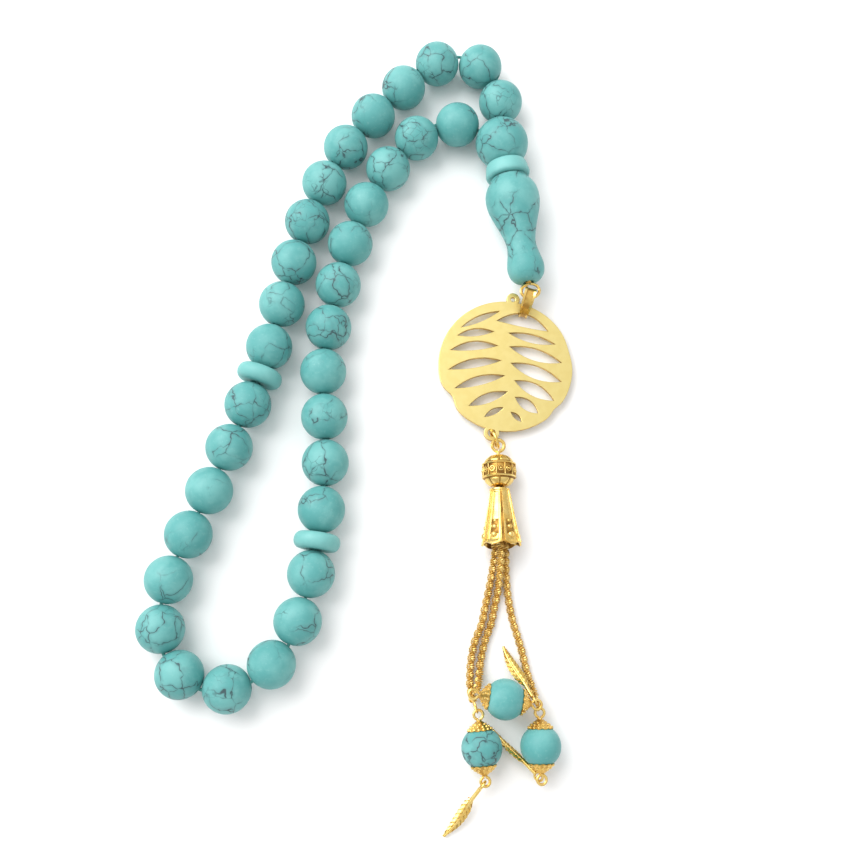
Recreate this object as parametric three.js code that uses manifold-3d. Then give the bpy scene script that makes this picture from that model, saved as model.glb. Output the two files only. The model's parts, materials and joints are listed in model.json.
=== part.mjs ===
// Misbaha: a loop of 33 stone beads on one cord, a turned imame, and a gilt pendant with a
// three-chain tassel. It lies flat on a table. Millimetres, +Z up, +X right, +Y towards the
// far end of the loop, and the origin under the middle of the whole object.
import * as THREE from 'three';
import * as BufferGeometryUtils from 'three/addons/utils/BufferGeometryUtils.js';
import Module from 'manifold-3d';

const wasm = await Module();
wasm.setup();

// Driving dimensions
const beadRadius = 5;
const beadsPerSection = 11;
const sections = 3;
const beadGap = 0.08;
const boreRadius = 1.0;
const mouthRadius = 1.5;
const discRadius = 4.95;
const discThickness = 3.5;
const cordRadius = 0.35;
const cordSides = 8;
const cordSteps = 90;
const cordInsideImame = 24;
const headRadius = 6;
const imameBoreRadius = 1.25;
const imameHeight = 6.12;
const imameLean = 8.7;
const imameTop = 8.9;
const imameFoot = 34.0;
const bailWidth = 1.8;
const bailThickness = 0.4;
const plateRadius = 15;
const plateThickness = 0.95;
const plateFloor = 1.25;
const jumpRingRadius = 2.0;
const jumpRingWire = 0.33;
const ballRadius = 3.8;
const bellTopRadius = 1.95;
const bellMouthRadius = 4.45;
const bellLength = 12.2;
const bellWall = 0.5;
const chainRadius = 0.85;
const chainSides = 8;
const chainSteps = 20;
const tasselBeadRadius = 4.2;
const pinWire = 0.35;
const pinReach = 6.6;
const featherLength = 13.3;
const featherThickness = 0.6;
const featherLoop = 0.9;

const stone = new THREE.MeshStandardMaterial({ color: 0x6fc3ba, roughness: 0.55, metalness: 0 });
const cordFibre = new THREE.MeshStandardMaterial({ color: 0x5fb7ae, roughness: 0.8, metalness: 0 });
const gilt = new THREE.MeshStandardMaterial({ color: 0xe6c268, roughness: 0.3, metalness: 1 });

// The cord's route: up the imame's bore, through the head, round the loop, and back down.
const headCentre = new THREE.Vector3(31.3, 62.4, imameHeight);
const cordRoute = [
  [34.48, 44.6, 6.1], [32.92, 54.9, 6.1], [31.9, 60.6, 6.1], [31.4, 63.4, 6.1],
  [31.5, 68.2, 5.2], [31.6, 73.8, 5.0], [30.1, 80.0, 5.0], [23.6, 84.6, 5.0], [16.6, 83.4, 5.0],
  [9.4, 77.1, 5.0], [-4.2, 61.9, 5.0], [-12.8, 43.5, 5.0], [-18.0, 24.2, 5.0],
  [-22.6, 7.5, 5.0], [-28.8, -8.6, 5.0], [-36.6, -27.0, 5.0], [-40.4, -36.0, 5.0],
  [-41.9, -46.9, 5.0], [-37.7, -56.1, 5.0], [-27.7, -59.1, 5.0], [-18.0, -53.3, 5.0],
  [-13.1, -43.9, 5.0], [-9.7, -27.3, 5.0], [-8.2, -10.4, 5.0], [-9.0, 9.7, 5.0],
  [-5.7, 29.0, 5.0], [0.6, 48.2, 5.0], [12.1, 64.6, 5.0], [21.6, 68.3, 5.0],
  [26.4, 65.9, 5.1], [30.6, 62.8, 6.1], [31.2, 59.6, 6.1], [32.02, 54.7, 6.1],
  [33.58, 44.4, 6.1],
];

// The three chains, from inside the bell to the tassel beads.
const chainRoutes = [
  [
    [28.05, -24.3, 3.75], [28.0, -27.5, 3.6], [27.8, -31, 2.6], [27.35, -34.5, 1.4],
    [26.5, -38.8, 0.95], [25.6, -42.5, 0.95], [24.8, -46, 0.95], [23.3, -49.5, 0.95],
    [22.4, -53.5, 0.95], [22.1, -57.5, 0.95], [22.3, -60.0, 1.6], [22.6, -61.7, 2.7],
  ],
  [
    [29.0, -24.3, 5.35], [28.95, -27.5, 5.35], [28.9, -31, 4.5], [28.75, -34.5, 2.9],
    [28.45, -38.8, 1.2], [27.6, -42.5, 0.95], [26.8, -46, 0.95], [25.4, -49.5, 0.95],
    [24.45, -53.5, 0.95], [24.1, -56.2, 1.5], [23.7, -58.1, 2.7], [23.3, -59.3, 3.8],
  ],
  [
    [29.95, -24.3, 3.75], [30.0, -27.5, 3.6], [30.1, -31, 2.6], [30.2, -34.8, 1.4],
    [30.45, -38.8, 0.95], [30.9, -42.3, 0.95], [31.5, -45.5, 0.95], [32.5, -49, 0.95],
    [33.3, -52, 0.95], [34.1, -55.7, 0.95], [35.0, -58.9, 1.4], [35.6, -61.0, 2.7],
  ],
];

// Each tassel end: its bead's centre, the way its pin points from the chain, and its feather.
const tasselEnds = [
  { bead: [24.0, -70.9, 4.2], pinTurn: -85, featherTurn: -128, featherDip: 15, roll: 0 },
  { bead: [28.9, -61.3, 5.4], pinTurn: -10, featherTurn: 117, featherDip: 20, roll: 0 },
  { bead: [36.1, -70.7, 4.2], pinTurn: -90, featherTurn: 134, featherDip: 14, roll: 55 },
];

const medallionCentre = [31.3, 10.7];
const topLug = { place: [33.4, 26.2], radius: 1.5, hole: 0.5 };
const bottomLug = { place: [27.8, -4.6], radius: 1.7, hole: 0.85 };

// Shallow notches in the medallion's rim: where each lies, in degrees, its depth and half width.
const rimNotches = [
  { middle: 210, depth: 1.1, width: 9 },
  { middle: 317, depth: 0.5, width: 6 },
  { middle: 14, depth: 0.3, width: 12 },
];

// Leaf-shaped openings either side of a stem: both tips of each, then how far each side bows.
const leafOpenings = [
  [-9.7, 8.9, -1.0, 12.7, 0.9, 0.55],
  [-1.7, 10.5, 9.9, 8.0, 2.95, 0.2],
  [-2.4, 7.9, -10.6, 7.0, 0.6, 1.2],
  [-1.6, 4.6, -12.2, 3.6, 0.5, 1.6],
  [-0.9, 1.2, -12.7, -0.9, 0.6, 1.5],
  [-0.2, -2.3, -11.4, -5.2, 0.7, 1.4],
  [0.3, -6.0, -8.4, -9.2, 0.9, 1.3],
  [-0.7, -9.6, -5.0, -11.7, 0.5, 0.8],
  [0.9, 7.6, 11.3, 5.0, 1.0, 1.0],
  [1.0, 4.4, 12.6, 0.7, 1.4, 1.4],
  [1.2, 0.6, 12.4, -3.7, 1.5, 1.5],
  [1.9, -3.4, 10.6, -8.0, 1.6, 1.3],
  [1.9, -7.2, 7.0, -10.9, 1.3, 1.1],
  [0.9, -10.6, 3.2, -12.8, 0.6, 0.5],
];

function radians(degrees) {
  return THREE.MathUtils.degToRad(degrees);
}

function named(name, geometry, material) {
  const mesh = new THREE.Mesh(geometry, material);
  mesh.name = name;
  return mesh;
}

function curveThrough(points) {
  return new THREE.CatmullRomCurve3(points.map((point) => new THREE.Vector3(...point)));
}

// A round bar of the given radius along a curve.
function bar(curve, radius, sides, steps) {
  const section = new THREE.Shape();
  for (let i = 0; i < sides; i += 1) {
    const angle = (i / sides) * Math.PI * 2;
    const x = radius * Math.cos(angle);
    const y = radius * Math.sin(angle);
    if (i === 0) {
      section.moveTo(x, y);
    } else {
      section.lineTo(x, y);
    }
  }
  return new THREE.ExtrudeGeometry(section, { steps, bevelEnabled: false, extrudePath: curve });
}

// A turned piece about the Y axis, from a closed profile of [radius, height] corners.
function turned(profile, segments) {
  const points = profile.map(([radius, height]) => new THREE.Vector2(radius, height));
  points.push(points[0].clone());
  return new THREE.LatheGeometry(points, segments);
}

function toSolid(geometry) {
  const positions = new THREE.BufferGeometry();
  positions.setAttribute('position', geometry.getAttribute('position'));
  positions.setIndex(geometry.getIndex());
  const merged = BufferGeometryUtils.mergeVertices(positions, 1e-4);
  const vertProperties = new Float32Array(merged.getAttribute('position').array);
  const triVerts = new Uint32Array(merged.getIndex().array);
  return new wasm.Manifold(new wasm.Mesh({ numProp: 3, vertProperties, triVerts }));
}

function toGeometry(solid) {
  const mesh = solid.getMesh();
  const geometry = new THREE.BufferGeometry();
  geometry.setAttribute('position', new THREE.BufferAttribute(mesh.vertProperties, 3));
  geometry.setIndex(new THREE.BufferAttribute(mesh.triVerts, 1));
  geometry.computeVertexNormals();
  return geometry;
}

function joined(...geometries) {
  return toGeometry(geometries.map(toSolid).reduce((all, next) => all.add(next)));
}

// A bored ball whose bore runs along Y and opens out at both mouths.
function boredBall(radius, bore, mouth, arcSteps, segments) {
  const profile = [];
  const mouthHeight = Math.sqrt(radius ** 2 - mouth ** 2);
  const boreHeight = mouthHeight - (mouth - bore);
  profile.push([bore, -boreHeight]);
  const firstAngle = Math.atan2(-mouthHeight, mouth);
  for (let i = 0; i <= arcSteps; i += 1) {
    const angle = firstAngle * (1 - (2 * i) / arcSteps);
    profile.push([radius * Math.cos(angle), radius * Math.sin(angle)]);
  }
  profile.push([bore, boreHeight]);
  return turned(profile, segments);
}

function dividerDisc() {
  const half = discThickness / 2;
  const flatRadius = discRadius - 1.6;
  const shoulderRadius = discRadius - 0.5;
  const shoulder = half * 0.72;
  return turned([
    [boreRadius, -half], [flatRadius, -half], [shoulderRadius, -shoulder], [discRadius, 0],
    [shoulderRadius, shoulder], [flatRadius, half], [boreRadius, half],
  ], 14);
}

// Where a piece sits on the cord: half way between the bore's own chord and the cord's middle.
function seatOn(curve, distance, halfWidth) {
  const length = curve.getLength();
  const before = curve.getPointAt((distance - halfWidth) / length);
  const after = curve.getPointAt((distance + halfWidth) / length);
  const middle = curve.getPointAt(distance / length);
  const position = before.clone().add(after).multiplyScalar(0.5).lerp(middle, 0.5);
  position.z = beadRadius;
  const direction = after.sub(before).setZ(0).normalize();
  return { position, direction };
}

// Walks on from the last piece until the next one just clears it.
function nextSeat(curve, distance, halfWidth, last, spacing) {
  const step = 0.02;
  let place = distance;
  let seat = seatOn(curve, place, halfWidth);
  while (seat.position.distanceTo(last) < spacing) {
    place += step;
    seat = seatOn(curve, place, halfWidth);
  }
  return { place, seat };
}

function strand() {
  const group = new THREE.Group();
  const curve = curveThrough(cordRoute);
  curve.arcLengthDivisions = 2000;
  group.add(named('stringing_cord', bar(curve, cordRadius, cordSides, cordSteps), cordFibre));
  const beadShape = boredBall(beadRadius, boreRadius, mouthRadius, 6, 12);
  const discShape = dividerDisc();
  let distance = cordInsideImame;
  let last = headCentre.clone();
  let spacing = headRadius + beadRadius + beadGap;
  for (let section = 0; section < sections; section += 1) {
    for (let i = 0; i < beadsPerSection; i += 1) {
      const next = nextSeat(curve, distance, beadRadius, last, spacing);
      const number = String(section * beadsPerSection + i + 1).padStart(2, '0');
      const bead = named(`bead_${number}`, beadShape, stone);
      bead.position.copy(next.seat.position);
      bead.quaternion.setFromUnitVectors(new THREE.Vector3(0, 1, 0), next.seat.direction);
      group.add(bead);
      last = next.seat.position;
      distance = next.place;
      spacing = 2 * beadRadius + beadGap;
    }
    if (section < sections - 1) {
      const half = discThickness / 2;
      const next = nextSeat(curve, distance, half, last, beadRadius + half + beadGap);
      const disc = named(`divider_disc_${section + 1}`, discShape, stone);
      disc.position.copy(next.seat.position);
      disc.quaternion.setFromUnitVectors(new THREE.Vector3(0, 1, 0), next.seat.direction);
      group.add(disc);
      last = next.seat.position;
      distance = next.place;
      spacing = beadRadius + half + beadGap;
    }
  }
  return group;
}

// The head ball has three bores that meet at its centre: one for each end of the loop, and
// one down to the collar. They run along the given directions, in degrees in its own plane.
function imameHead() {
  const bores = [
    { turn: -90, dip: 0, radius: 1.3 },
    { turn: 80, dip: 6, radius: boreRadius },
    { turn: 138, dip: 6, radius: boreRadius },
  ];
  let solid = toSolid(new THREE.SphereGeometry(headRadius, 16, 10));
  const reach = headRadius + 1;
  const pastCentre = 0.8;
  for (const { turn, dip, radius } of bores) {
    const drill = new THREE.CylinderGeometry(radius, radius, reach, 10);
    drill.translate(0, reach / 2 - pastCentre, 0);
    drill.rotateX(radians(-dip));
    drill.rotateZ(radians(turn - 90));
    solid = solid.subtract(toSolid(drill));
  }
  return named('imame_head', toGeometry(solid), stone);
}

function imameCollar() {
  return named('imame_collar', turned([
    [imameBoreRadius, -6.35], [imameBoreRadius, -8.6], [4.5, -8.6], [5.0, -8.1],
    [4.95, -7.3], [4.7, -5.6], [4.4, -5.0], [3.2, -5.5],
  ], 16), stone);
}

function imameVase() {
  const outside = [
    [4.1, -imameTop], [4.3, -9.7], [5.3, -10.7], [5.95, -12.2], [6.1, -14.2], [5.8, -16.3], [5.0, -18.7],
    [4.15, -21.1], [3.5, -23.5], [3.3, -25.4], [3.6, -27.4], [4.05, -29.2], [4.15, -30.6],
    [3.8, -32.3], [2.9, -33.5], [1.9, -imameFoot],
  ];
  return named('imame_vase', turned([
    [imameBoreRadius, -imameFoot], ...outside.reverse(), [imameBoreRadius, -imameTop],
  ], 16), stone);
}

// The wire eye that the cord's knot holds up in the vase, with a wide loop for the bail.
function footEye() {
  const loopLong = 2.05;
  const loopWide = 1.65;
  const shankRadius = 0.4;
  const shankLength = 13.6;
  const loop = new THREE.TorusGeometry(1, 0.19, 6, 16);
  loop.scale(loopLong, loopWide, 2);
  loop.translate(0, -imameFoot - 2, 0);
  const shank = new THREE.CylinderGeometry(shankRadius, shankRadius, shankLength, 8);
  shank.translate(0, shankLength / 2 - imameFoot - 0.7, 0);
  return named('foot_eye', joined(loop, shank), gilt);
}

function imame() {
  const group = new THREE.Group();
  group.position.copy(headCentre);
  group.rotation.z = radians(imameLean);
  group.add(imameHead(), imameCollar(), imameVase(), footEye());
  return group;
}

// An oval band that stands on edge through the foot eye and round the medallion's rim.
function bail() {
  const longRadius = 3.8;
  const shortRadius = 1.95;
  const oval = new THREE.Shape();
  oval.absellipse(0, 0, longRadius + bailThickness, shortRadius + bailThickness, 0, Math.PI * 2);
  const hole = new THREE.Path();
  hole.absellipse(0, 0, longRadius, shortRadius, 0, Math.PI * 2);
  oval.holes.push(hole);
  const band = new THREE.ExtrudeGeometry(oval, {
    depth: bailWidth, bevelEnabled: false, curveSegments: 20,
  });
  band.translate(0, 0, -bailWidth / 2);
  const mesh = named('bail', band, gilt);
  mesh.position.set(36.2, 24.8, 3.9);
  mesh.rotation.order = 'ZYX';
  mesh.rotation.set(Math.PI / 2, radians(-61.6), radians(74));
  return mesh;
}

// A point on the medallion's edge, which is round but for its notches.
function plateEdge(angle) {
  let radius = plateRadius;
  for (const { middle, depth, width } of rimNotches) {
    const away = THREE.MathUtils.euclideanModulo(angle - middle + 180, 360) - 180;
    radius -= depth * Math.exp(-((away / width) ** 2));
  }
  return new THREE.Vector2(radius * Math.cos(radians(angle)), radius * Math.sin(radians(angle)));
}

// Two tips joined by two bowed sides.
function leaf(x0, y0, x1, y1, bowLeft, bowRight) {
  const path = new THREE.Path();
  const span = Math.hypot(x1 - x0, y1 - y0);
  const sideX = -(y1 - y0) / span;
  const sideY = (x1 - x0) / span;
  const middleX = (x0 + x1) / 2;
  const middleY = (y0 + y1) / 2;
  path.moveTo(x0, y0);
  path.quadraticCurveTo(middleX + sideX * bowLeft * 2, middleY + sideY * bowLeft * 2, x1, y1);
  path.quadraticCurveTo(middleX - sideX * bowRight * 2, middleY - sideY * bowRight * 2, x0, y0);
  return path;
}

// An upright disc as thick as the plate, or thicker for a drill, at a lug's place.
function atLug(lug, radius, height) {
  const disc = new THREE.CylinderGeometry(radius, radius, height, 14);
  disc.rotateX(Math.PI / 2);
  const [x, y] = lug.place;
  disc.translate(x - medallionCentre[0], y - medallionCentre[1], plateThickness / 2);
  return toSolid(disc);
}

function medallion() {
  const edge = [];
  for (let angle = 0; angle < 360; angle += 6) {
    edge.push(plateEdge(angle));
  }
  const outline = new THREE.Shape(edge);
  for (const opening of leafOpenings) {
    outline.holes.push(leaf(...opening));
  }
  const plate = new THREE.ExtrudeGeometry(outline, {
    depth: plateThickness, bevelEnabled: false, curveSegments: 4,
  });
  let solid = toSolid(plate);
  for (const lug of [topLug, bottomLug]) {
    solid = solid.add(atLug(lug, lug.radius, plateThickness));
    solid = solid.subtract(atLug(lug, lug.hole, plateThickness + 2));
  }
  const mesh = named('medallion', toGeometry(solid), gilt);
  mesh.position.set(medallionCentre[0], medallionCentre[1], plateFloor);
  return mesh;
}

// Stands on edge, through the medallion's bottom lug and the tassel pin's upper eye.
function jumpRing() {
  const mesh = named('jump_ring', new THREE.TorusGeometry(jumpRingRadius, jumpRingWire, 6, 16), gilt);
  mesh.position.set(28.4, -6.2, 2.66);
  mesh.rotation.order = 'ZYX';
  mesh.rotation.set(Math.PI / 2, 0, radians(-69));
  return mesh;
}

// One wire through ball and bell, with an eye at each end.
function tasselPin() {
  const shankRadius = 0.42;
  const shankLength = 12.4;
  const shankTop = 1.2;
  const lowerEyeDrop = 14.6;
  const upperEye = new THREE.TorusGeometry(1.3, 0.38, 6, 14);
  const lowerEye = new THREE.TorusGeometry(1.1, 0.35, 6, 12);
  lowerEye.translate(0, -lowerEyeDrop, 0);
  const shank = new THREE.CylinderGeometry(shankRadius, shankRadius, shankLength, 8);
  shank.translate(0, -shankTop - shankLength / 2, 0);
  return named('tassel_pin', joined(upperEye, shank, lowerEye), gilt);
}

function tasselBall() {
  const ballDrop = 5.7;
  const ball = named('tassel_ball', boredBall(ballRadius, 0.8, 1.1, 8, 14), gilt);
  ball.position.y = -ballDrop;
  return ball;
}

function tasselBell() {
  const taper = (bellMouthRadius - bellTopRadius) / bellLength;
  const outerAt = (drop) => bellTopRadius + taper * drop;
  const crown = 0.9;
  const bore = 0.8;
  const bellDrop = 9.75;
  const bell = named('tassel_bell', turned([
    [bore, -crown], [outerAt(crown) - bellWall, -crown], [bellMouthRadius - bellWall, -bellLength],
    [bellMouthRadius, -bellLength], [outerAt(0.4), -0.4], [bellTopRadius - 0.35, 0], [bore, 0],
  ], 16), gilt);
  bell.position.y = -bellDrop;
  return bell;
}

function tasselHead() {
  const group = new THREE.Group();
  group.position.set(29.0, -7.8, 3.63);
  group.rotation.x = radians(-2.3);
  group.add(tasselPin(), tasselBall(), tasselBell());
  return group;
}

function chains() {
  const group = new THREE.Group();
  chainRoutes.forEach((route, i) => {
    group.add(named(`chain_${i + 1}`, bar(curveThrough(route), chainRadius, chainSides, chainSteps), gilt));
  });
  return group;
}

// A wire through the bead with a flat loop at each end.
function beadPin(name) {
  const loopRadius = 0.95;
  const near = new THREE.TorusGeometry(loopRadius, pinWire - 0.05, 6, 12);
  near.translate(-pinReach, 0, 0);
  const far = near.clone();
  far.translate(2 * pinReach, 0, 0);
  const shank = new THREE.CylinderGeometry(pinWire, pinWire, 2 * (pinReach - loopRadius), 8);
  shank.rotateZ(Math.PI / 2);
  return named(name, joined(near, shank, far), gilt);
}

// A leaf-shaped charm along X, hung by an upright loop at the origin.
function feather(name, roll) {
  const loopRadius = featherLoop;
  const stemEnd = 4;
  const stemHalf = 0.4;
  const stemStartHalf = 0.35;
  const outline = new THREE.Shape();
  outline.moveTo(loopRadius, -stemStartHalf);
  outline.lineTo(stemEnd, -stemHalf);
  outline.quadraticCurveTo(6.6, -2.1, 10.2, -1.35);
  outline.quadraticCurveTo(12.2, -0.9, featherLength, 0);
  outline.quadraticCurveTo(11.4, 1.3, 8.4, 1.55);
  outline.quadraticCurveTo(5.6, 1.5, stemEnd, stemHalf);
  outline.lineTo(loopRadius, stemStartHalf);
  const blade = new THREE.ExtrudeGeometry(outline, {
    depth: featherThickness, bevelEnabled: false, curveSegments: 5,
  });
  blade.translate(0, 0, -featherThickness / 2);
  blade.rotateX(radians(roll));
  const loop = new THREE.TorusGeometry(loopRadius, 0.26, 6, 12);
  loop.rotateX(Math.PI / 2);
  return named(name, joined(blade, loop), gilt);
}

// A tassel end's own X axis runs along its pin, away from the chain.
function tasselEnd(end, number) {
  const group = new THREE.Group();
  group.position.set(...end.bead);
  group.rotation.z = radians(end.pinTurn);
  const ball = named(`tassel_bead_${number}`, boredBall(tasselBeadRadius, 0.7, 1.0, 6, 12), stone);
  ball.rotation.z = Math.PI / 2;
  const charm = feather(`feather_${number}`, end.roll);
  charm.rotation.order = 'ZYX';
  charm.rotation.z = radians(end.featherTurn - end.pinTurn);
  charm.rotation.y = radians(end.featherDip);
  const hang = new THREE.Vector3(featherLoop, 0, 0).applyEuler(charm.rotation);
  charm.position.set(pinReach, 0, 0).add(hang);
  group.add(beadPin(`bead_pin_${number}`), ball, charm);
  return group;
}

const misbaha = new THREE.Group();
misbaha.add(strand(), imame(), bail(), medallion(), jumpRing(), tasselHead(), chains());
tasselEnds.forEach((end, i) => {
  misbaha.add(tasselEnd(end, i + 1));
});

export default misbaha;
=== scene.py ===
import json
import math
import random

import bpy
from mathutils import Matrix, Vector


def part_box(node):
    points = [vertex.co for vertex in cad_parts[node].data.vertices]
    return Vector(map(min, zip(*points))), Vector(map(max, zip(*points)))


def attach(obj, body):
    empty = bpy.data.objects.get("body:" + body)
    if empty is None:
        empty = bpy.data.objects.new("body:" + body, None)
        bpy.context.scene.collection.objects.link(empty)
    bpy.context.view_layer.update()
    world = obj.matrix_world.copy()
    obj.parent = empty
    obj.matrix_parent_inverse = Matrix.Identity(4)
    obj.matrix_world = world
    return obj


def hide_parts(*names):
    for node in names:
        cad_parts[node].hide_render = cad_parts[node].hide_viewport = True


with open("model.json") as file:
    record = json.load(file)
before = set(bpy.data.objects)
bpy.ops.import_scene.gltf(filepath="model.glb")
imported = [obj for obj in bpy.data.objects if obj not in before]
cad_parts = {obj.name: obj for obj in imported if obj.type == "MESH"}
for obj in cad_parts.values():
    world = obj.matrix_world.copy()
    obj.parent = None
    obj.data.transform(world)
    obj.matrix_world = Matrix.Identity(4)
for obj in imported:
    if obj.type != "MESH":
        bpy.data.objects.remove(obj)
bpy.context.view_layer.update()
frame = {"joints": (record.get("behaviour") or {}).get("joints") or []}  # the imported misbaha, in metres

mm = 0.001
upright = Vector((0, 0, 1))
joints = {joint["name"]: joint for joint in frame["joints"]}
random.seed(33)


# camera, floor and light

shot = {
    "position": (1.92, -55.62, 231.77),  # mm
    "tilt": 12.46,  # degrees about X
    "pan": -3.22,  # degrees about the tilted Y
    "fieldOfView": 43.85,
    "floorSize": 6.0,  # metres
    "clip": 0.01,  # metres
    "skyTop": 1.0,
    "skyEdge": 0.6,
    "skyRise": 0.9,  # how far up the sky reaches its full strength
    "keyPower": 6.5,
    "keySize": 0.7,
    "keyPlace": (-0.40, 0.34, 0.55),
}


def makeCamera():
    bpy.ops.object.camera_add()
    camera = bpy.context.object
    camera.name = "camera"
    camera.data.angle = math.radians(shot["fieldOfView"])
    camera.data.clip_start = shot["clip"]
    tilt = Matrix.Rotation(math.radians(shot["tilt"]), 4, "X")
    pan = Matrix.Rotation(math.radians(shot["pan"]), 4, "Y")
    camera.matrix_world = Matrix.Translation(Vector(shot["position"]) * mm) @ tilt @ pan
    bpy.context.scene.camera = camera


def makeSky():
    world = bpy.data.worlds.new("softStudio")
    bpy.context.scene.world = world
    world.use_nodes = True
    tree = world.node_tree
    place = tree.nodes.new("ShaderNodeTexCoord")
    split = tree.nodes.new("ShaderNodeSeparateXYZ")
    level = tree.nodes.new("ShaderNodeMapRange")
    background = tree.nodes["Background"]
    background.inputs["Color"].default_value = (1, 1, 1, 1)
    level.inputs["From Min"].default_value = 0.0
    level.inputs["From Max"].default_value = shot["skyRise"]
    level.inputs["To Min"].default_value = shot["skyEdge"]
    level.inputs["To Max"].default_value = shot["skyTop"]
    tree.links.new(place.outputs["Generated"], split.inputs[0])
    tree.links.new(split.outputs["Z"], level.inputs["Value"])
    tree.links.new(level.outputs["Result"], background.inputs["Strength"])


def makeKeyLight():
    bpy.ops.object.light_add(type="AREA", location=shot["keyPlace"])
    key = bpy.context.object
    key.name = "keyLight"
    key.data.energy = shot["keyPower"]
    key.data.size = shot["keySize"]
    aim = Vector((0, 0, 0)) - key.location
    key.rotation_euler = aim.to_track_quat("-Z", "Y").to_euler()


def makeFloor(material):
    bpy.ops.mesh.primitive_plane_add(size=shot["floorSize"], location=(0, 0, 0))
    floor = bpy.context.object
    floor.name = "floor"
    floor.data.materials.append(material)


# materials

def newMaterial(name):
    material = bpy.data.materials.new(name)
    material.use_nodes = True
    return material, material.node_tree, material.node_tree.nodes["Principled BSDF"]


def addNode(tree, kind, settings=None, values=None):
    node = tree.nodes.new(kind)
    for key, value in (settings or {}).items():
        setattr(node, key, value)
    for key, value in (values or {}).items():
        node.inputs[key].default_value = value
    return node


def objectPlace(tree):  # object coordinates in millimetres
    source = addNode(tree, "ShaderNodeTexCoord")
    scale = addNode(tree, "ShaderNodeMapping", values={"Scale": (1000, 1000, 1000)})
    tree.links.new(source.outputs["Object"], scale.inputs["Vector"])
    return scale.outputs["Vector"]


def ramp(tree, value, fromLow, fromHigh, toLow, toHigh):
    node = addNode(tree, "ShaderNodeMapRange", {"interpolation_type": "SMOOTHSTEP"}, {
        "From Min": fromLow, "From Max": fromHigh, "To Min": toLow, "To Max": toHigh})
    tree.links.new(value, node.inputs["Value"])
    return node.outputs["Result"]


def multiply(tree, first, second):
    node = addNode(tree, "ShaderNodeMath", {"operation": "MULTIPLY"})
    tree.links.new(first, node.inputs[0])
    if isinstance(second, (int, float)):
        node.inputs[1].default_value = second
    else:
        tree.links.new(second, node.inputs[1])
    return node.outputs[0]


def larger(tree, first, second):
    node = addNode(tree, "ShaderNodeMath", {"operation": "MAXIMUM"})
    tree.links.new(first, node.inputs[0])
    tree.links.new(second, node.inputs[1])
    return node.outputs[0]


def noise(tree, place, scale, detail=3.0, roughness=0.5):
    values = {"Scale": scale, "Detail": detail, "Roughness": roughness}
    node = addNode(tree, "ShaderNodeTexNoise", values=values)
    tree.links.new(place, node.inputs["Vector"])
    return node


def blendColours(tree, amount, first, second):
    node = addNode(tree, "ShaderNodeMix", {"data_type": "RGBA"})
    tree.links.new(amount, node.inputs[0])
    for socket, colour in ((node.inputs[6], first), (node.inputs[7], second)):
        if isinstance(colour, tuple):
            socket.default_value = (*colour, 1)
        else:
            tree.links.new(colour, socket)
    return node.outputs[2]


def addBump(tree, shader, height, strength, distance):
    bump = addNode(tree, "ShaderNodeBump", values={"Strength": strength, "Distance": distance * mm})
    tree.links.new(height, bump.inputs["Height"])
    tree.links.new(bump.outputs["Normal"], shader.inputs["Normal"])


stoneLook = {
    "light": (0.150, 0.425, 0.410),
    "deep": (0.092, 0.338, 0.330),
    "chalk": (0.200, 0.455, 0.437),
    "pale": (0.190, 0.490, 0.470),  # the discs and the collar
    "vein": (0.040, 0.080, 0.088),
    "halo": (0.090, 0.240, 0.240),
    "cell": 0.200,  # large crackle cells, per mm
    "veinWidth": 0.028,
    "fineCell": 0.45,
    "fineWidth": 0.040,
    "haloWidth": 0.15,
    "warp": 3.4,  # mm that the veins wander
    "veinBump": 0.5,
    "veinDepth": 0.05,  # mm
    "gloss": 0.36,
}


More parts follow.
